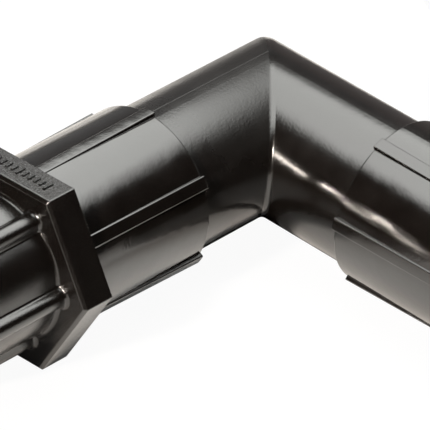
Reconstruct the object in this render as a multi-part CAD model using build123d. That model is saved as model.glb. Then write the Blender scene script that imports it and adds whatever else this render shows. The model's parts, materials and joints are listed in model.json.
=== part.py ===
from build123d import *
from math import sqrt
import os

# Elbow for drip tubing, with a female pipe thread adapter pushed into one of its arms.
# Sizes are in millimetres.
#
# Frame: the origin is the centre of the pipe thread's mouth and +Z is up. The thread arm runs
# along X and its mouth faces -X. The tubing arm runs along -Y from the elbow's corner. The two
# centre lines meet at the corner and lie in the plane z = 0, so the elbow lies on its side.

# Tubing that the fitting takes
tubing_diameter = 17.8

# Grip rings: soft rings trapped between the end of an arm and the lip of its sleeve
grip_fit = 0.05
ring_wall = 5.0
ring_side_gap = 0.1
ring_end_gap = 0.05
ring_lead_in = 4.6
ring_lip_step = 0.5
ring_back_bevel = 1.4

# Elbow: one moulded tube with a square mitre, as wide as the bore of its sleeves
tube_wall = 2.4
mitre_inner_round = 0.8
mitre_outer_round = 2.8

# Sleeves: ribbed rings fixed over the ends of the arms
sleeve_start = 30.5
sleeve_length = 28.5
sleeve_wall = 1.25
sleeve_fit = 0.05
arm_reach_in_sleeve = 12.5
sleeve_edge_round = 0.3
sleeve_lip = 2.4
mouth_clearance = 2.4
sleeve_rib_count = 6
sleeve_rib_width = 2.4
sleeve_rib_height = 0.75
sleeve_rib_tail = 0.15
sleeve_rib_end_gap = 0.4
sleeve_rib_round = 0.25
thread_sleeve_turn = 1.6
tubing_sleeve_turn = 22.5

# Stop ribs inside each arm, where pushed-in tubing comes to its end
stop_rib_count = 4
stop_rib_width = 1.6
stop_rib_length = 12.0
stop_rib_catch = 1.1
stop_rib_corner_gap = 1.0

# Adapter: hexagon, ribbed drum with the pipe thread, and the spigot in the grip ring
adapter_turn = 2.4
hex_ledge = 2.9
hex_thickness = 6.5
hex_face_bevel = 0.55
hex_edge_round = 0.15
thread_root_diameter = 21.0
thread_depth = 15.5
thread_wall = 2.9
drum_length = 18.0
drum_rib_count = 6
drum_rib_width = 3.6
drum_rib_height = 1.8
drum_side_round = 0.7
drum_root_round = 0.8
drum_mouth_round = 0.8
spigot_wall = 2.6
spigot_past_ring = 7.0
spigot_bevel = 0.8

# How far one solid is carried into the wall that it grows from, before the two are joined
root_depth = 0.5
# Lengths closer than this are taken as equal when edges are picked out
near_enough = 0.001

# Radii worked out from the sizes above
spigot_radius = tubing_diameter / 2
grip_radius = spigot_radius + grip_fit
ring_radius = grip_radius + ring_wall
sleeve_bore_radius = ring_radius + ring_side_gap
sleeve_radius = sleeve_bore_radius + sleeve_wall
sleeve_rib_tip = sleeve_radius + sleeve_rib_height
tube_radius = sleeve_bore_radius - sleeve_fit
bore_radius = tube_radius - tube_wall
mouth_radius = spigot_radius + mouth_clearance
ring_mouth_radius = mouth_radius - ring_lip_step
stop_rib_radius = spigot_radius - stop_rib_catch
thread_root_radius = thread_root_diameter / 2
drum_radius = thread_root_radius + thread_wall
drum_rib_tip = drum_radius + drum_rib_height
hex_face = drum_radius + hex_ledge
hex_apothem = hex_face + hex_face_bevel + hex_edge_round
passage_radius = spigot_radius - spigot_wall

# Distances from the corner along an arm
arm_end = sleeve_start + arm_reach_in_sleeve
sleeve_mouth = sleeve_start + sleeve_length
lip_face = sleeve_mouth - sleeve_lip
ring_start = arm_end + ring_end_gap
ring_end = lip_face - ring_end_gap
stop_rib_start = bore_radius + mitre_inner_round + stop_rib_corner_gap
hex_front = sleeve_mouth + hex_thickness
thread_mouth = hex_front + drum_length
thread_floor = thread_mouth - thread_depth
spigot_end = ring_start - spigot_past_ring

# Each arm's own frame: its Z axis runs outwards from the corner and its X axis points up
corner = (thread_mouth, 0, 0)
thread_arm = Plane(origin=corner, x_dir=(0, 0, 1), z_dir=(-1, 0, 0)).location
tubing_arm = Plane(origin=corner, x_dir=(0, 0, 1), z_dir=(0, -1, 0)).location


def bar(radius, start, end):
    """A round bar on an arm's axis between two distances from the corner."""
    base = (Align.CENTER, Align.CENTER, Align.MIN)
    return Pos(0, 0, start) * Cylinder(radius, end - start, align=base)


def turned(*profile):
    """A body of revolution about an arm's axis. Profile points are (radius, distance)."""
    outline = Plane.XZ * Polyline(*profile, close=True)
    return revolve(make_face(outline), Axis.Z)


def off_axis(edge):
    """How far an edge's middle lies from the arm's axis."""
    middle = edge.position_at(0.5)
    return sqrt(middle.X ** 2 + middle.Y ** 2)


def near(value, target):
    return abs(value - target) < near_enough


def rounding(share):
    """How far from the corner the rounding starts. Share is 1 at the outer side, -1 at the inner."""
    return mitre_inner_round + max(share, 0) * (mitre_outer_round - mitre_inner_round)


def mitre_points(share, radius):
    """Plan positions of one point of the tube's section as it goes round the corner."""
    x, y = corner[0] + share * radius, corner[1] + share * radius
    return [(x - rounding(share), y), (x, y), (x, y - rounding(share))]


def half_section(radius, station, side):
    """The outer (1) or inner (-1) half of the upright section where the rounding begins or ends."""
    x, y = mitre_points(0, radius)[station]
    far_x, far_y = mitre_points(side, radius)[station]
    reach = sqrt((far_x - x) ** 2 + (far_y - y) ** 2)
    rim = EllipticalCenterArc((0, 0), reach, radius, start_angle=-90, arc_size=180)
    upright = Plane(origin=(x, y, corner[2]), x_dir=(far_x - x, far_y - y, 0), z_dir=(far_y - y, x - far_x, 0))
    return upright * make_face([rim.edge(), Line(rim @ 1, rim @ 0).edge()])


def mitre_block(radius):
    """The rounded corner: an upright section moved without turning, round a wider arc outside."""
    weights = [1, sqrt(0.5), 1]
    rim = [(1, 0), (1, 1), (0, 1), (-1, 1), (-1, 0), (-1, -1), (0, -1), (1, -1), (1, 0)]
    faces = []
    for first in range(0, len(rim) - 1, 2):
        quarter = rim[first:first + 3]
        points = [[(*mitre_points(a, radius)[station], corner[2] + b * radius) for a, b in quarter]
                  for station in range(3)]
        faces.append(Face.make_bezier_surface(points, [[v * w for w in weights] for v in weights]))
    for station in (0, 2):
        for side in (1, -1):
            faces.append(half_section(radius, station, side).face())
    return Solid(Shell(faces))


def bent_bar(radius, end):
    """Two round bars at right angles, joined by the rounded mitre."""
    x, y, z = corner
    side = 2 * radius
    run = side + end
    outer = side * (radius - mitre_outer_round + mitre_inner_round) / radius
    start = mitre_inner_round
    plan = [(-run, side), (outer - start, side), (-start, 0), (-side - start, -side), (-run, -side)]
    thread_side = make_face(Polyline(*[(x + u, y + v) for u, v in plan], close=True))
    tubing_side = make_face(Polyline(*[(x + v, y + u) for u, v in plan], close=True))
    long_bar = bar(radius, -side, end)
    thread_bar = thread_arm * long_bar & extrude(thread_side, side, both=True)
    tubing_bar = tubing_arm * long_bar & extrude(tubing_side, side, both=True)
    return thread_bar + mitre_block(radius) + tubing_bar


def stop_ribs():
    """Fins along the bore of one arm."""
    depth = bore_radius + root_depth - stop_rib_radius
    foot = (Align.MIN, Align.CENTER, Align.MIN)
    fin = Box(depth, stop_rib_width, stop_rib_length, align=foot)
    fin = Pos(stop_rib_radius, 0, stop_rib_start) * fin
    step = 360 / stop_rib_count
    return [Rot(0, 0, (k + 0.5) * step) * fin for k in range(stop_rib_count)]


def elbow_body():
    """The mitred tube with its fins."""
    elbow = bent_bar(tube_radius, arm_end) - bent_bar(bore_radius, arm_end + tube_wall)
    for arm in (thread_arm, tubing_arm):
        for fin in stop_ribs():
            elbow += arm * fin
    return elbow


def sleeve_rib():
    """A rib with its top round the arm's axis, proud at the inner end and low at the mouth."""
    foot = sleeve_radius - root_depth
    rib_end = sleeve_mouth - sleeve_rib_end_gap
    ring = turned((foot, sleeve_start), (sleeve_rib_tip, sleeve_start),
                  (sleeve_radius + sleeve_rib_tail, rib_end), (foot, rib_end))
    base = (Align.MIN, Align.CENTER, Align.MIN)
    slab = Pos(0, 0, sleeve_start) * Box(sleeve_rib_tip, sleeve_rib_width, rib_end - sleeve_start, align=base)
    rib = ring & slab
    top = rib.faces().filter_by(GeomType.CONE).sort_by(Axis.X)[-1]
    return fillet(top.edges().filter_by(GeomType.CIRCLE, reverse=True), sleeve_rib_round)


def sleeve(turn):
    """A ring with straight ribs outside and a lip turned in at its mouth."""
    shell = turned((sleeve_bore_radius, sleeve_start), (sleeve_radius, sleeve_start),
                   (sleeve_radius, sleeve_mouth), (mouth_radius, sleeve_mouth),
                   (mouth_radius, lip_face), (sleeve_bore_radius, lip_face))
    rims = shell.edges().filter_by(GeomType.CIRCLE)
    rims = rims.filter_by(lambda rim: near(rim.radius, sleeve_radius))
    shell = fillet(rims, sleeve_edge_round)
    rib = sleeve_rib()
    for k in range(sleeve_rib_count):
        shell += Rot(0, 0, turn + k * 360 / sleeve_rib_count) * rib
    return shell


def grip_ring():
    """A soft ring: a wide mouth leads the tubing in to the land that holds it."""
    land_end = ring_end - ring_lead_in
    land_start = ring_start + ring_back_bevel
    return turned((ring_radius, ring_start), (ring_radius, ring_end), (ring_mouth_radius, ring_end),
                  (grip_radius, land_end), (grip_radius, land_start),
                  (grip_radius + ring_back_bevel, ring_start))


def drum():
    """The threaded socket's outside: a round drum with a round rib in line with each hexagon corner."""
    step = 360 / drum_rib_count
    rib = Pos(drum_rib_tip - drum_rib_width / 2, 0) * Circle(drum_rib_width / 2)
    outline = Rot(0, 0, step / 2) * Circle(drum_radius)
    for k in range(drum_rib_count):
        outline += Rot(0, 0, (k + 0.5) * step) * rib
    body = extrude(Pos(0, 0, hex_front) * outline, drum_length)
    creases = body.edges().filter_by(Axis.Z).filter_by(lambda edge: near(off_axis(edge), drum_radius))
    body = fillet(creases, drum_side_round)
    return fillet(body.faces().sort_by(Axis.Z)[-1].edges(), drum_mouth_round)


def threaded_adapter():
    """Hexagon with a flat on top, the ribbed drum in front of it and the hollow spigot behind."""
    hexagon = Rot(0, 0, 30) * RegularPolygon(hex_apothem, 6, major_radius=False)
    flange = extrude(Pos(0, 0, sleeve_mouth) * hexagon, hex_thickness)
    flange = chamfer(flange.faces().sort_by(Axis.Z)[-1].edges(), hex_face_bevel)
    flange = fillet(flange.edges(), hex_edge_round)
    adapter = flange + drum()
    root = adapter.edges().filter_by_position(Axis.Z, hex_front, hex_front)
    root = root.filter_by(lambda edge: off_axis(edge) < hex_face - near_enough)
    adapter = fillet(root, drum_root_round)
    spigot = bar(spigot_radius, spigot_end, sleeve_mouth)
    adapter += chamfer(spigot.faces().sort_by(Axis.Z)[0].edges(), spigot_bevel)
    adapter -= bar(passage_radius, spigot_end, thread_mouth)
    return adapter - bar(thread_root_radius, thread_floor, thread_mouth)


os.makedirs("parts", exist_ok=True)
nodes = {
    "elbow_body": elbow_body(),
    "thread_side_sleeve": thread_arm * sleeve(thread_sleeve_turn),
    "tubing_side_sleeve": tubing_arm * sleeve(tubing_sleeve_turn),
    "thread_side_grip_ring": thread_arm * grip_ring(),
    "tubing_side_grip_ring": tubing_arm * grip_ring(),
    "threaded_adapter": thread_arm * Rot(0, 0, adapter_turn) * threaded_adapter(),
}
for name, solid in nodes.items():
    export_step(solid, f"parts/{name}.step")
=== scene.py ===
# %% [markdown]
# # A black elbow for drip tubing
#
# This lesson dresses a plumbing fitting: a square elbow of black plastic, a ribbed sleeve on each arm,
# and an adapter with a hexagon, a ribbed drum and a pipe thread. Its solids come ready made from a
# CAD model, at their real size, so the shapes stay as they are. Blender adds what CAD leaves out:
# the skin of the plastic, the cut of the thread, the moulder's marks, and the light that a glossy
# black thing needs before it shows any shape at all.

# %% Load the frame
import json
from math import ceil, cos, pi, radians, sin

import bmesh
import bpy
from mathutils import Matrix, Vector


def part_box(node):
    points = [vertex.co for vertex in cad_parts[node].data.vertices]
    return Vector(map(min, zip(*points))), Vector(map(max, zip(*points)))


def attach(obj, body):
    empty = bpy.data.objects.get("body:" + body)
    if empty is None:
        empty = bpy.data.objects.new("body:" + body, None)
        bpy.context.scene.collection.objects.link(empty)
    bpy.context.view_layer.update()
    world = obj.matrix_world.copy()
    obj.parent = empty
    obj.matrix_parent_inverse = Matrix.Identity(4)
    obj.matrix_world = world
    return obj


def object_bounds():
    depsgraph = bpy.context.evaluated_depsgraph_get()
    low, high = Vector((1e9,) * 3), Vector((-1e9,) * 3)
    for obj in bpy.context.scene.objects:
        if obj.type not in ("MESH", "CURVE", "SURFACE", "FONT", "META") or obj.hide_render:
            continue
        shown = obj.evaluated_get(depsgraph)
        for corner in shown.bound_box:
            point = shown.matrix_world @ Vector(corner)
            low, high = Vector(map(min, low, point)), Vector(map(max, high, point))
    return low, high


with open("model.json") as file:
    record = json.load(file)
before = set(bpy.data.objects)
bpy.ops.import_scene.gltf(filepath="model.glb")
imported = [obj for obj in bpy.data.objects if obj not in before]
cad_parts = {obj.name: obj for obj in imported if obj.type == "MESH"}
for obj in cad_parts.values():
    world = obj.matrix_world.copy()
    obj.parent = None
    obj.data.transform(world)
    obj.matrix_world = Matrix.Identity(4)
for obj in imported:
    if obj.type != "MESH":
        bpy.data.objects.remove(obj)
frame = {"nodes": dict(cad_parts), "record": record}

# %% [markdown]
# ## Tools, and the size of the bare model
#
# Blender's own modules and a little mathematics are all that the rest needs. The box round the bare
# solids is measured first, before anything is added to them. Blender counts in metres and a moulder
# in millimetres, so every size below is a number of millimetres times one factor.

cad_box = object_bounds()
nodes = frame["nodes"]
mm = 0.001
print("solids:", ", ".join(sorted(nodes)))
print("size in mm:", [round(side / mm, 1) for side in cad_box[1] - cad_box[0]])

# %% [markdown]
# ## Where things are
#
# The origin is the centre of the pipe thread's mouth. The thread arm runs along X to the elbow's
# corner, and the tubing arm runs from that corner along -Y. These key places are read off the
# solids' own boxes, so that what is added later follows the CAD model.

# %% Key places, read from the solids
sleeve_low, sleeve_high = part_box("thread_side_sleeve")
elbow_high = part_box("elbow_body")[1]
tube_radius = elbow_high.z
corner = Vector((elbow_high.x - tube_radius, 0, 0))
hex_back = sleeve_low.x
floor_height = cad_box[0].z
print("corner at", round(corner.x / mm, 2), "mm")
print("hexagon meets the sleeve at", round(hex_back / mm, 2), "mm")

# %% [markdown]
# ## Small helpers for shaders
#
# Colours are written as sRGB hex values, the way a paint program shows them. Blender's sockets hold
# linear light, so one function turns the first into the second. Another adds a single node, sets it
# up and links it, which keeps a material readable as a list of steps. A third clears a new
# material's nodes, so that each one starts from nothing.

# %% Helpers for colours and nodes
def linear(hex_colour):
    """An sRGB hex colour as linear RGBA."""
    channels = [int(hex_colour[k:k + 2], 16) / 255 for k in (1, 3, 5)]
    return (*(c / 12.92 if c <= 0.04045 else ((c + 0.055) / 1.055) ** 2.4 for c in channels), 1)


def add(tree, kind, inputs=None, **settings):
    """Adds one node. Inputs are values or other nodes' outputs, settings are the node's own."""
    node = tree.nodes.new(kind)
    for name, value in settings.items():
        setattr(node, name, value)
    for name, value in (inputs or {}).items():
        if isinstance(value, bpy.types.NodeSocket):
            tree.links.new(value, node.inputs[name])
        else:
            node.inputs[name].default_value = value
    return node


def fresh_tree(material):
    """Empties a material's nodes, then gives back its tree and a new output node."""
    material.use_nodes = True
    material.node_tree.nodes.clear()
    return material.node_tree, add(material.node_tree, "ShaderNodeOutputMaterial")

# %% [markdown]
# ## An eroded skin, with painted glints
#
# Where a mould's steel was spark-eroded and not polished, the plastic comes out matt, with a fine
# tooth. Some of its facets turn towards the light and flash as bright points. Those glints are
# painted: the real ones are about 0.1 mm, too fine for a pixel, so they are drawn twice as coarse,
# as the peaks of a noise that lighten the body colour, whatever the light. A mask keeps them to the
# skin that is eroded.

# %% Painted glints on an eroded skin
glint_size = 0.22 * mm
glint_from, glint_full = 0.52, 0.7


def painted_glints(tree, place, mask, colour, glint_colour):
    """The colour with painted glints, as bright points, over it where the mask is 1."""
    peaks = add(tree, "ShaderNodeTexNoise", {
        "Vector": place, "Scale": 1 / glint_size, "Detail": 1.0,
    })
    points = add(tree, "ShaderNodeMapRange", {
        "Value": peaks.outputs["Fac"], "From Min": glint_from, "From Max": glint_full,
    })
    points = add(tree, "ShaderNodeMath", {
        0: points.outputs["Result"], 1: mask,
    }, operation="MULTIPLY")
    return add(tree, "ShaderNodeMix", {
        "Factor": points.outputs[0], "A": colour, "B": linear(glint_colour),
    }, data_type="RGBA").outputs["Result"]


print("bright points of", round(glint_size / mm, 2), "mm")

# %% [markdown]
# ## Moulded ABS
#
# The fitting is black ABS, coloured through with carbon black, shot into a steel mould. The body
# colour is almost nothing, a warm black, so nearly all that the eye gets is reflection. Polished
# steel leaves a skin that is smooth but not optical: it has the mould's fine grain, which breaks up
# the border of a reflection, and long shallow sink marks, which make the border wander. A clear
# coat over the shader stands for the shine of that skin, and goes where the skin is matt.
#
# All of it is made with noise and two bumps, at sizes worked out in millimetres. The real grain is
# about 0.1 mm, so it is drawn two to five times as coarse to show. A bevel node rounds the sharp
# creases where two moulded faces meet, because a real mould never cuts a perfect edge.

# %% Moulded ABS
sink_length = 11 * mm
cloud_size, cloud_gloss = 4 * mm, 0.03
cloud_thin, cloud_thick = 0.3, 0.7
polished_coat = 0.5


def moulded_abs(name, roughness, coat_rough, grain_height, sink_height, grain_size=0.45,
                edge_round=0.15, matt=None, matt_rough=0, matt_grain=0, glint_colour=None):
    """Black ABS from a mould. Heights and sizes are in millimetres.

    matt makes a mask, from 0 where the skin is polished to 1 where it is matt. There matt_rough and
    matt_grain are added, and painted glints, bright points in the colour, if the skin is eroded and
    has a colour for them.
    """
    material = bpy.data.materials.new(name)
    tree, output = fresh_tree(material)
    place = add(tree, "ShaderNodeTexCoord").outputs["Object"]
    sinks = add(tree, "ShaderNodeTexNoise", {
        "Vector": place, "Scale": 1 / sink_length, "Detail": 3.0,
    })
    grain = add(tree, "ShaderNodeTexNoise", {
        "Vector": place, "Scale": 1 / (grain_size * mm), "Detail": 2.0,
    })
    cloud = add(tree, "ShaderNodeTexNoise", {
        "Vector": place, "Scale": 1 / cloud_size, "Detail": 4.0,
    })
    colour = add(tree, "ShaderNodeMix", {
        "Factor": cloud.outputs["Fac"], "A": linear("#080605"), "B": linear("#0f0c0a"),
    }, data_type="RGBA").outputs["Result"]
    rough = add(tree, "ShaderNodeMapRange", {
        "Value": cloud.outputs["Fac"], "From Min": cloud_thin, "From Max": cloud_thick,
        "To Min": roughness - cloud_gloss, "To Max": roughness + cloud_gloss,
    }).outputs["Result"]
    bump, coat = grain_height * mm, polished_coat
    if matt:
        mask = matt(tree, place)
        rough = add(tree, "ShaderNodeMath", {
            0: mask, 1: matt_rough, 2: rough,
        }, operation="MULTIPLY_ADD").outputs[0]
        bump = add(tree, "ShaderNodeMath", {
            0: mask, 1: matt_grain * mm, 2: bump,
        }, operation="MULTIPLY_ADD").outputs[0]
        coat = add(tree, "ShaderNodeMath", {
            0: mask, 1: -coat, 2: coat,
        }, operation="MULTIPLY_ADD").outputs[0]
        # Painted glints: bright points mixed into the colour of the matt skin.
        if glint_colour:
            colour = painted_glints(tree, place, mask, colour, glint_colour)
    edge = add(tree, "ShaderNodeBevel", {"Radius": edge_round * mm}, samples=6)
    wavy = add(tree, "ShaderNodeBump", {
        "Height": sinks.outputs["Fac"], "Distance": sink_height * mm,
        "Normal": edge.outputs["Normal"],
    })
    skin = add(tree, "ShaderNodeBump", {
        "Height": grain.outputs["Fac"], "Distance": bump, "Normal": wavy.outputs["Normal"],
    }).outputs["Normal"]
    shader = add(tree, "ShaderNodeBsdfPrincipled", {
        "Base Color": colour, "Roughness": rough, "IOR": 1.53, "Normal": skin,
        "Coat Weight": coat, "Coat Roughness": coat_rough, "Coat IOR": 1.5, "Coat Normal": skin,
    })
    tree.links.new(shader.outputs["BSDF"], output.inputs["Surface"])
    print(name, "roughness", roughness, "grain", grain_height, "mm, sink marks", sink_height, "mm")
    return material

# %% [markdown]
# ## Matt towards the corner
#
# The thread arm's tube loses its polish towards the corner, where the mould was worked by hand. A
# mask says where: it is built from the position alone, so it stays put from any side. It grows
# along the arm, stops at the mitre, and fades out down the tube's side.

# %% Mask for the tube beside the corner
matt_from = sleeve_high.x - 12 * mm
matt_full = corner.x - 6 * mm
side_from, side_full = 0.1 * tube_radius, 0.6 * tube_radius
mitre_fade = 0.6 * mm


def towards_corner(tree, place):
    """1 on the thread arm's top beside the corner, less towards its sleeve, 0 on the tubing arm."""
    axis = add(tree, "ShaderNodeSeparateXYZ", {"Vector": place}).outputs
    along = add(tree, "ShaderNodeMapRange", {
        "Value": axis["X"], "From Min": matt_from, "From Max": matt_full,
    }, interpolation_type="SMOOTHSTEP")
    # The mitre plane is where y equals x less the corner's x
    side = add(tree, "ShaderNodeMath", {0: axis["Y"], 1: axis["X"]}, operation="SUBTRACT")
    side = add(tree, "ShaderNodeMapRange", {
        "Value": side.outputs[0], "From Min": -corner.x, "From Max": -corner.x + mitre_fade,
    })
    above = add(tree, "ShaderNodeMapRange", {
        "Value": axis["Z"], "From Min": side_from, "From Max": side_full,
    })
    mask = along.outputs["Result"]
    for part in (side, above):
        mask = add(tree, "ShaderNodeMath", {
            0: mask, 1: part.outputs["Result"],
        }, operation="MULTIPLY").outputs[0]
    return mask


print("matt from", round(matt_from / mm, 1), "to", round(matt_full / mm, 1), "mm along the arm")

# %% [markdown]
# ## Matt on the hexagon
#
# The hexagon's top and bottom flats carry an eroded grain, on which the scuffs of a wrench hardly
# show. Their mask is built from position and normal, and stops just short of the flats' front
# edges and ends, as the eroded patch in the steel does. The hexagon's own sizes come first. It is
# turned a little about its axis, so the adapter's highest point is one of its corners, and the
# rest follows from that.

# %% Mask for the hexagon's flats
hex_turn = radians(2.4)
hex_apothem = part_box("threaded_adapter")[1].z * cos(pi / 6) / cos(pi / 6 - hex_turn)
hex_corner = hex_apothem / cos(pi / 6)
# The flat is as long as the hexagon is thick, less the bevel on its front
flat_length = 6.5 * mm - 0.55 * mm
flat_front = hex_back - flat_length
# Where the eroded patch begins, then where it is whole, from the flat, its ends and its front
below_flat = 0.6 * mm, 0.2 * mm
in_from_ends = 0.08 * mm, 0.23 * mm
in_from_front = 0.05 * mm, 0.45 * mm
upright_normal = 0.8, 0.95


def top_flat(tree, place):
    """1 on the hexagon's flats that face up or down, 0 on its other faces and on the drum."""
    normal = add(tree, "ShaderNodeTexCoord").outputs["Normal"]
    facing = add(tree, "ShaderNodeSeparateXYZ", {"Vector": normal}).outputs["Z"]
    facing = add(tree, "ShaderNodeMath", {0: facing}, operation="ABSOLUTE")
    level = add(tree, "ShaderNodeMapRange", {
        "Value": facing.outputs[0], "From Min": upright_normal[0], "From Max": upright_normal[1],
    })
    off_axis = add(tree, "ShaderNodeVectorMath", {0: place, 1: (0, 1, 1)}, operation="MULTIPLY")
    radius = add(tree, "ShaderNodeVectorMath", {
        0: off_axis.outputs["Vector"],
    }, operation="LENGTH").outputs["Value"]
    outside = add(tree, "ShaderNodeMapRange", {
        "Value": radius,
        "From Min": hex_apothem - below_flat[0], "From Max": hex_apothem - below_flat[1],
    })
    ends = add(tree, "ShaderNodeMapRange", {
        "Value": radius,
        "From Min": hex_corner - in_from_ends[0], "From Max": hex_corner - in_from_ends[1],
    })
    along = add(tree, "ShaderNodeSeparateXYZ", {"Vector": place}).outputs["X"]
    front = add(tree, "ShaderNodeMapRange", {
        "Value": along,
        "From Min": flat_front + in_from_front[0], "From Max": flat_front + in_from_front[1],
    })
    mask = outside.outputs["Result"]
    for part in (level, front, ends):
        mask = add(tree, "ShaderNodeMath", {
            0: mask, 1: part.outputs["Result"],
        }, operation="MULTIPLY").outputs[0]
    return mask


print("hexagon", round(2 * hex_apothem / mm, 1), "mm across flats")

# %% [markdown]
# ## Grip rubber
#
# Inside each socket sits a ring of black rubber that bites on the tube. Rubber is the opposite of
# moulded plastic to the eye: no polish, a dry grey bloom in patches, and a fine tooth left by the
# talc in its mould. One cloud texture drives the bloom, and a finer one the tooth.

# %% Grip rubber
bloom_size = 3 * mm
tooth_size, tooth_height = 0.25 * mm, 0.03 * mm


def bloomed_rubber(name):
    """Black rubber with grey patches."""
    material = bpy.data.materials.new(name)
    tree, output = fresh_tree(material)
    place = add(tree, "ShaderNodeTexCoord").outputs["Object"]
    bloom = add(tree, "ShaderNodeTexNoise", {
        "Vector": place, "Scale": 1 / bloom_size, "Detail": 5.0,
    })
    tooth = add(tree, "ShaderNodeTexNoise", {
        "Vector": place, "Scale": 1 / tooth_size, "Detail": 2.0,
    })
    colour = add(tree, "ShaderNodeMix", {
        "Factor": bloom.outputs["Fac"], "A": linear("#161514"), "B": linear("#2a2927"),
    }, data_type="RGBA")
    skin = add(tree, "ShaderNodeBump", {
        "Height": tooth.outputs["Fac"], "Distance": tooth_height,
    })
    shader = add(tree, "ShaderNodeBsdfPrincipled", {
        "Base Color": colour.outputs["Result"], "Roughness": 0.7, "IOR": 1.52,
        "Normal": skin.outputs["Normal"],
    })
    tree.links.new(shader.outputs["BSDF"], output.inputs["Surface"])
    print(name, "with bloom patches of", round(bloom_size / mm), "mm")
    return material

# %% [markdown]
# ## Who wears what
#
# Four materials for six solids. The elbow, its sleeves and the adapter are the same plastic from
# different moulds, so they share the recipe and differ in polish, grain and sink marks.

# %% Dress the solids
def dress(node_name, material):
    """Gives a CAD node its material, in place of the plain one that it came with."""
    mesh = nodes[node_name].data
    mesh.materials.clear()
    mesh.materials.append(material)


elbow_abs = moulded_abs(
    "elbow_abs", roughness=0.2, coat_rough=0.07, grain_height=0.015, sink_height=0.12,
    matt=towards_corner, matt_rough=0.14, matt_grain=0.02)
sleeve_abs = moulded_abs(
    "sleeve_abs", roughness=0.16, coat_rough=0.06, grain_height=0.01, sink_height=0.16)
# The adapter's matt flats get painted glints in their glint colour.
adapter_abs = moulded_abs(
    "adapter_abs", roughness=0.2, coat_rough=0.18, grain_height=0.03, sink_height=0.12,
    grain_size=0.22, edge_round=0.25,
    matt=top_flat, matt_rough=-0.02, matt_grain=0.12, glint_colour="#3e3e3f")
grip_rubber = bloomed_rubber("grip_rubber")
dress("elbow_body", elbow_abs)
dress("thread_side_sleeve", sleeve_abs)
dress("tubing_side_sleeve", sleeve_abs)
dress("threaded_adapter", adapter_abs)
dress("thread_side_grip_ring", grip_rubber)
dress("tubing_side_grip_ring", grip_rubber)

# %% [markdown]
# ## New pieces
#
# Three things are left out of the solids. Two are too fine for them, and the third is the pipe
# thread's ridge, because the bore has to stay a plain hole there. Each is built here as its own
# mesh from a list of corner points and faces, set a hair into the wall that carries it so that no
# gap shows. Each rides on the body and takes the plastic of the part that it grows from.

# %% A helper for new pieces
def new_piece(name, points, faces, material, sharp):
    """Makes a mesh object, smooth except where faces meet at more than sharp degrees."""
    mesh = bpy.data.meshes.new(name)
    mesh.from_pydata(points, [], faces)
    mesh.validate()
    work = bmesh.new()
    work.from_mesh(mesh)
    bmesh.ops.recalc_face_normals(work, faces=work.faces)
    work.to_mesh(mesh)
    work.free()
    mesh.shade_smooth()
    mesh.set_sharp_from_angle(angle=radians(sharp))
    mesh.materials.append(material)
    piece = bpy.data.objects.new(name, mesh)
    bpy.context.scene.collection.objects.link(piece)
    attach(piece, "root")
    print(name, "has", len(mesh.polygons), "faces")

# %% [markdown]
# ## The pipe thread
#
# The drum is a socket with a female pipe thread of fourteen turns to the inch. The bore comes plain
# from the solid, at the thread's root, and its radius and length are in the frame's record. The
# thread is one ridge that winds along the wall: a section with a wide foot and a narrow crest,
# carried round a helix and joined to its last copy at each step. Its height grows from nothing over
# the first half turn and dies out again at the end, as the mould's core leaves it.

# %% Pipe thread
mounts = {mount["name"]: mount for mount in frame["record"]["mounts"]}
bore = mounts["pipe_thread"]["dims"]
thread_root = bore["r_mm"] * mm
pitch = 25.4 / 14 * mm
thread_height, thread_sunk = 1.05 * mm, 0.04 * mm
half_foot, half_crest = 0.44 * pitch, 0.11 * pitch
thread_start, thread_runout = 0.9 * mm, 1.6 * mm
thread_end = bore["length_mm"] * mm - thread_runout
turns = (thread_end - thread_start) / pitch
growing_turns, least_growth = 0.5, 0.02
steps_a_turn = 72
last = ceil(turns * steps_a_turn)
points, faces = [], []
for step in range(last + 1):
    turned = step / steps_a_turn
    growth = min(1, turned / growing_turns, (turns - turned) / growing_turns)
    height = thread_height * max(growth, least_growth)
    middle = thread_start + turned * pitch
    angle = 2 * pi * turned
    section = (
        (thread_sunk, -half_foot), (-height, -half_crest),
        (-height, half_crest), (thread_sunk, half_foot),
    )
    for rise, shift in section:
        radius = thread_root + rise
        points.append((middle + shift, radius * cos(angle), radius * sin(angle)))
    if step:
        here = 4 * step
        for k in range(4):
            after = (k + 1) % 4
            faces.append((here - 4 + k, here - 4 + after, here + after, here + k))
faces.append((0, 1, 2, 3))
faces.append(tuple(4 * last + k for k in range(4)))
new_piece("pipe_thread", points, faces, adapter_abs, sharp=35)

# %% [markdown]
# ## The witness line
#
# A mould is made of several blocks, and the plastic creeps a hair into the joint between them. On the
# thread arm that leaves a fine straight line near the top of the tube, from the sleeve to the mitre.
# It is a bead with a three-cornered section, and stands 0.06 mm proud.

# %% Witness line
witness_angle = radians(8)
half_width, proud, sunk = 0.16 * mm, 0.06 * mm, 0.05 * mm
up_the_bead = Vector((0, sin(witness_angle), cos(witness_angle)))
along_the_wall = Vector((0, cos(witness_angle), -sin(witness_angle)))
mitre_x = corner.x + tube_radius * sin(witness_angle)
under_sleeve, short_of_mitre = 0.2 * mm, 0.3 * mm
points = []
for x in (sleeve_high.x - under_sleeve, mitre_x - short_of_mitre):
    for side, rise in ((-half_width, -sunk), (0, proud), (half_width, -sunk)):
        spot = up_the_bead * (tube_radius + rise) + along_the_wall * side
        points.append((x, spot.y, spot.z))
faces = [(0, 1, 4, 3), (1, 2, 5, 4), (2, 0, 3, 5), (0, 1, 2), (3, 4, 5)]
new_piece("witness_line", points, faces, elbow_abs, sharp=80)

# %% [markdown]
# ## Marks on the hexagon
#
# The top flat of the hexagon carries a row of small raised bars, like the plain scale on a mould
# insert, with every fifth one longer. Each is a box with its top pulled in, so that its sides lean
# as every moulded mark's do, to slip out of the steel. They are real geometry, because their short
# shadows and lit tops show.

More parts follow.
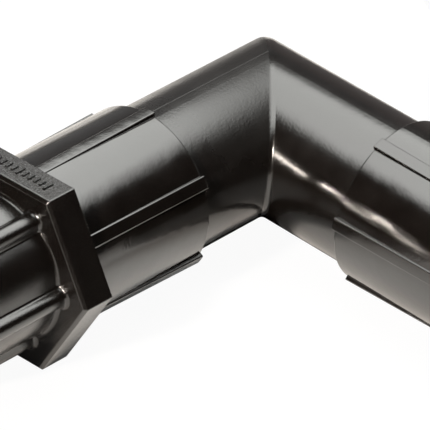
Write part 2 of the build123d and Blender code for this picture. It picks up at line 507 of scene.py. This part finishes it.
# %% Marks on the hexagon
flat_up = Vector((0, sin(hex_turn), cos(hex_turn)))
flat_across = Vector((0, -cos(hex_turn), sin(hex_turn)))
flat_middle = flat_front + flat_length / 2
bar_count, bar_spacing, bars_to_a_long_one = 11, 1.3 * mm, 5
long_half, short_half, half_bar_width = 1.15 * mm, 0.8 * mm, 0.45 * mm / 2
bar_height, bar_sunk, bar_lean = 0.3 * mm, 0.05 * mm, 0.06 * mm
box_corners = ((-1, -1), (1, -1), (1, 1), (-1, 1))
points, faces = [], []
for k in range(bar_count):
    middle = (k - bar_count // 2) * bar_spacing
    half_length = short_half if k % bars_to_a_long_one else long_half
    here = len(points)
    for rise, pull in ((-bar_sunk, 0), (bar_height, bar_lean)):
        for along_sign, across_sign in box_corners:
            x = flat_middle + along_sign * (half_length - pull)
            shift = middle + across_sign * (half_bar_width - pull)
            spot = flat_up * (hex_apothem + rise) + flat_across * shift
            points.append((x, spot.y, spot.z))
    faces.append((here, here + 1, here + 2, here + 3))
    faces.append((here + 4, here + 5, here + 6, here + 7))
    for j in range(4):
        after = (j + 1) % 4
        faces.append((here + j, here + after, here + 4 + after, here + 4 + j))
new_piece("hexagon_marks", points, faces, adapter_abs, sharp=30)

# %% [markdown]
# ## The studio
#
# A glossy black thing has hardly any colour of its own, so its light is made by placing things for
# it to mirror: a big softbox close above, a white floor below, a pale card behind, darkness
# elsewhere. Places are given the way a turntable is read, as an azimuth round the object and an
# elevation above the floor, and one function turns the two angles into a direction. Softbox and
# the grey sheet of painted shade are turned to face the camera, so the camera's own direction is
# settled here.

# %% Directions and places in the studio
def towards(azimuth, elevation):
    """The unit vector to a place in the studio. Azimuth 0 is -Y and 90 is +X, in degrees."""
    a, e = radians(azimuth), radians(elevation)
    return Vector((sin(a) * cos(e), -cos(a) * cos(e), sin(e)))


aim = corner + Vector((-27.147, -13.537, 0)) * mm
view_azimuth, view_elevation, view_roll = -50.377, 34.479, 5.8
facing_camera = Matrix.Rotation(radians(view_azimuth), 4, "Z")
print("the view aims at", [round(c / mm, 1) for c in aim], "mm")

# %% [markdown]
# ## Panels
#
# Floor, softbox, card and the sheets of painted shade are all flat sheets. One helper makes a sheet,
# which is not attached to the fitting's body. Another keeps a sheet for reflections only, and two
# more make a matt material for the painted shade and a plain glow.

# %% Helpers for panels
def sheet(name, width, depth, place, rotation, material):
    """A flat stage panel, centred on its place."""
    mesh = bpy.data.meshes.new(name)
    x, y = width / 2, depth / 2
    mesh.from_pydata([(-x, -y, 0), (x, -y, 0), (x, y, 0), (-x, y, 0)], [], [(0, 1, 2, 3)])
    mesh.materials.append(material)
    panel = bpy.data.objects.new(name, mesh)
    panel.matrix_world = Matrix.Translation(place) @ rotation
    bpy.context.scene.collection.objects.link(panel)
    print(name, "is", round(width / mm), "by", round(depth / mm), "mm")
    return panel


def only_mirrored(panel):
    """Leaves a panel to reflections alone, so that it doesn't shade the floor."""
    panel.visible_camera = False
    panel.visible_diffuse = False
    panel.visible_shadow = False


def painted_shade_material(name, colour):
    """A matt material of one colour, for the sheets of painted shade."""
    material = bpy.data.materials.new(name)
    tree, output = fresh_tree(material)
    matt_side = add(tree, "ShaderNodeBsdfDiffuse", {"Color": linear(colour)})
    tree.links.new(matt_side.outputs["BSDF"], output.inputs["Surface"])
    return material


def emitter(name, strength, colour):
    """A material that only glows."""
    material = bpy.data.materials.new(name)
    tree, output = fresh_tree(material)
    glow = add(tree, "ShaderNodeEmission", {"Color": linear(colour), "Strength": strength})
    tree.links.new(glow.outputs["Emission"], output.inputs["Surface"])
    return material

# %% [markdown]
# ## The floor
#
# A sweep of white paper. Seen by the camera it is nearly all plain glow, which gives the clean white
# ground, with a little real paper mixed in so that it keeps the soft shadow under the fitting. Seen
# in a reflection it is nearly all real paper, so the undersides of the arms mirror a floor that is
# bright in the open and dark beneath the object. The Light Path node tells the kinds of ray apart.

# %% Floor
floor_side = 6000 * mm
glow_seen, glow_mirrored = 0.95, 0.03


def white_sweep():
    """White paper, with its share of glow set by the kind of ray."""
    material = bpy.data.materials.new("white_sweep")
    tree, output = fresh_tree(material)
    path = add(tree, "ShaderNodeLightPath").outputs
    mirrored = add(tree, "ShaderNodeMath", {
        0: path["Is Glossy Ray"], 1: path["Is Transmission Ray"],
    }, operation="MAXIMUM").outputs[0]
    mirrored = add(tree, "ShaderNodeMath", {
        0: mirrored, 1: glow_mirrored,
    }, operation="MULTIPLY").outputs[0]
    share = add(tree, "ShaderNodeMath", {
        0: path["Is Camera Ray"], 1: glow_seen, 2: mirrored,
    }, operation="MULTIPLY_ADD").outputs[0]
    paper = add(tree, "ShaderNodeBsdfDiffuse", {"Color": linear("#e6e6e6")})
    glow = add(tree, "ShaderNodeEmission", {"Strength": 1.0})
    mix = add(tree, "ShaderNodeMixShader", {
        "Fac": share, 1: paper.outputs["BSDF"], 2: glow.outputs["Emission"],
    })
    tree.links.new(mix.outputs["Shader"], output.inputs["Surface"])
    return material


floor_place = Vector((0, 0, floor_height))
sheet("floor", floor_side, floor_side, floor_place, Matrix.Identity(4), white_sweep())

# %% [markdown]
# ## The softbox
#
# The pale bands along the tops of both arms are one softbox, hung close over the fitting and a little
# behind it. Its cloth isn't evenly lit. It is brightest at the near edge and fades at all four, and
# that is what makes the bands' borders soft. So the light is a ramp from front to back, multiplied
# by four smooth steps, one for each edge. Sizes are in units of the height at which it hangs.

# %% Softbox
box_height = 150 * mm
box_front, box_back = -0.6, 1.5
box_half_width = 1.0
box_middle = (box_front + box_back) / 2
light_front, light_back = 6.2, 3.8
# Each edge has its axis, its place and half the width of its fade, which is negative at a far edge
light_edges = (
    ("Y", 1.27 - box_middle, -0.2),
    ("Y", -0.23 - box_middle, 0.25),
    ("X", 0.67, -0.27),
    ("X", -0.7, 0.2),
)


def softbox_cloth():
    """A lit cloth that fades towards its four edges."""
    material = bpy.data.materials.new("softbox_cloth")
    tree, output = fresh_tree(material)
    place = add(tree, "ShaderNodeTexCoord").outputs["Object"]
    spot = add(tree, "ShaderNodeSeparateXYZ", {"Vector": place}).outputs
    half_depth = (box_back - box_front) / 2 * box_height
    light = add(tree, "ShaderNodeMapRange", {
        "Value": spot["Y"], "From Min": -half_depth, "From Max": half_depth,
        "To Min": light_front, "To Max": light_back,
    }).outputs["Result"]
    for axis, edge, fade in light_edges:
        step = add(tree, "ShaderNodeMapRange", {
            "Value": spot[axis],
            "From Min": (edge - fade) * box_height, "From Max": (edge + fade) * box_height,
        }, interpolation_type="SMOOTHSTEP").outputs["Result"]
        light = add(tree, "ShaderNodeMath", {0: light, 1: step}, operation="MULTIPLY").outputs[0]
    glow = add(tree, "ShaderNodeEmission", {"Color": linear("#fefffb"), "Strength": light})
    tree.links.new(glow.outputs["Emission"], output.inputs["Surface"])
    return material


box_place = aim + Vector((0, 0, box_height))
box_place += facing_camera @ Vector((0, box_middle * box_height, 0))
softbox = sheet("softbox", 2 * box_half_width * box_height, (box_back - box_front) * box_height,
                box_place, facing_camera, softbox_cloth())
softbox.visible_camera = False

# %% [markdown]
# ## A card, and painted shade behind
#
# Two more things are mirrored in the fitting's far sides. A pale card stands behind it, near on the
# right and further off on the left, and makes the grey band along the back of the thread arm. Behind
# the fitting a grey sheet lies a hair above the sweep, so that the sweep mirrors darker there: painted
# shade on the floor behind. Neither is seen by the camera.

# %% Card, and painted shade behind
card_length, card_height = 400 * mm, 60 * mm
card_place = Vector((corner.x + 123 * mm, 118.5 * mm, floor_height + card_height / 2))
card_along = Vector((0.46, 0.89, 0)).normalized()
card_turn = Matrix.Rotation(card_along.to_2d().angle_signed(Vector((1, 0))), 4, "Z")
upright = Matrix.Rotation(radians(90), 4, "X")
card = sheet("grey_card", card_length, card_height, card_place, card_turn @ upright,
             emitter("card_glow", 0.16, "#fff4f0"))
card.visible_camera = False

# A grey sheet a hair above the sweep, seen only in reflections: painted shade behind the fitting.
paper_width = 800 * mm
paper_front, paper_back, paper_lift = 35 * mm, 160 * mm, 0.3 * mm
paper_place = Vector((aim.x, aim.y, floor_height + paper_lift))
paper_place += facing_camera @ Vector((0, (paper_front + paper_back) / 2, 0))
paper = sheet("paper", paper_width, paper_back - paper_front,
              paper_place, facing_camera, painted_shade_material("painted_shade_behind", "#b4b2b0"))
only_mirrored(paper)

# %% [markdown]
# ## Painted shadow under the arms
#
# Two dark strips lie under the arms, so that their undersides mirror black near the corner and not
# the white sweep. They are painted shadow: the fitting's own shade on the floor, which only the
# reflections see. Each strip is given by two opposite corners in millimetres, from the place where
# the arms meet.

# %% Painted shadow under the arms
strip_lift = 0.1 * mm
strips = (
    ("painted_shadow_under_thread_arm", (-50, -9), (14, 14)),
    ("painted_shadow_under_tubing_arm", (-5, -50), (14, -9)),
)
# Dark sheets that only reflections see: painted shadow under the arms.
painted_shadow_sheet = painted_shade_material("painted_shadow_sheet", "#1c1c1c")
for name, low, high in strips:
    middle = Vector(((low[0] + high[0]) / 2, (low[1] + high[1]) / 2, 0)) * mm
    place = Vector((corner.x, corner.y, floor_height + strip_lift)) + middle
    strip = sheet(name, (high[0] - low[0]) * mm, (high[1] - low[1]) * mm,
                  place, Matrix.Identity(4), painted_shadow_sheet)
    only_mirrored(strip)

# %% [markdown]
# ## A small lamp at the side
#
# The thin bright streaks along the tubing arm are a round lamp, low and far to the left. The thread
# arm's side mirrors it towards the tubing arm, which mirrors it again. It is small beside the
# softbox, so its image is a hard narrow line that wanders with the plastic's sink marks. It gives
# the black its sparkle.

# %% Side lamp
lamp_way, lamp_distance = towards(-84, 31), 1200 * mm
lamp_data = bpy.data.lights.new("side_lamp", "AREA")
lamp_data.shape = "DISK"
lamp_data.size = 115 * mm
lamp_data.energy = 25
lamp_data.color = linear("#fff4e8")[:3]
side_lamp = bpy.data.objects.new("side_lamp", lamp_data)
side_lamp.location = corner + lamp_way * lamp_distance
side_lamp.rotation_mode = "QUATERNION"
side_lamp.rotation_quaternion = lamp_way.to_track_quat("Z", "Y")
side_lamp.visible_camera = False
bpy.context.scene.collection.objects.link(side_lamp)
print("side lamp", round(lamp_data.size / mm), "mm across,", lamp_data.energy, "W")

# %% [markdown]
# ## The room
#
# The room is dark, so that the sides of the arms stay black, but for a dim wall far behind that
# brightens towards one side. Only the camera sees plain white, like the floor, and so there is no
# horizon in the picture.

# %% World
wall_way = tuple(towards(160, 0))
wall_from, wall_full = 0.6, 1.0
room_light, wall_light = 0.015, 0.38
world = bpy.data.worlds.new("studio")
bpy.context.scene.world = world
world.use_nodes = True
tree = world.node_tree
tree.nodes.clear()
world_output = add(tree, "ShaderNodeOutputWorld")
direction = add(tree, "ShaderNodeTexCoord").outputs["Generated"]
backwards = add(tree, "ShaderNodeVectorMath", {
    0: direction, 1: wall_way,
}, operation="DOT_PRODUCT")
wall = add(tree, "ShaderNodeMapRange", {
    "Value": backwards.outputs["Value"], "From Min": wall_from, "From Max": wall_full,
    "To Min": room_light, "To Max": wall_light,
})
seen = add(tree, "ShaderNodeLightPath").outputs["Is Camera Ray"]
strength = add(tree, "ShaderNodeMix", {"Factor": seen, "A": wall.outputs["Result"], "B": 1.0})
sky = add(tree, "ShaderNodeBackground", {"Strength": strength.outputs["Result"]})
tree.links.new(sky.outputs["Background"], world_output.inputs["Surface"])
print("world with", len(tree.nodes), "nodes")

# %% [markdown]
# ## The camera
#
# A long lens from almost a metre away looks down at the inside of the elbow, with the camera tilted
# a few degrees. The long lens keeps the edges of each arm nearly parallel in the picture, as in a
# catalogue. The camera's three axes are worked out one from another and stacked up as its matrix.

# %% Camera
view_distance, view_lens = 953.4 * mm, 464.6
back = towards(view_azimuth, view_elevation)
right = Vector((0, 0, 1)).cross(back).normalized()
up = back.cross(right)
roll = radians(view_roll)
rolled_right = right * cos(roll) + up * sin(roll)
rolled_up = up * cos(roll) - right * sin(roll)
camera_turn = Matrix((rolled_right, rolled_up, back)).transposed().to_4x4()
camera_data = bpy.data.cameras.new("camera")
camera_data.sensor_width = 36
camera_data.lens = view_lens
camera = bpy.data.objects.new("camera", camera_data)
camera.matrix_world = Matrix.Translation(aim + back * view_distance) @ camera_turn
bpy.context.scene.collection.objects.link(camera)
bpy.context.scene.camera = camera
bpy.context.scene.view_settings.view_transform = "Standard"
print("camera", round(view_distance / mm), "mm away, lens", view_lens, "mm")
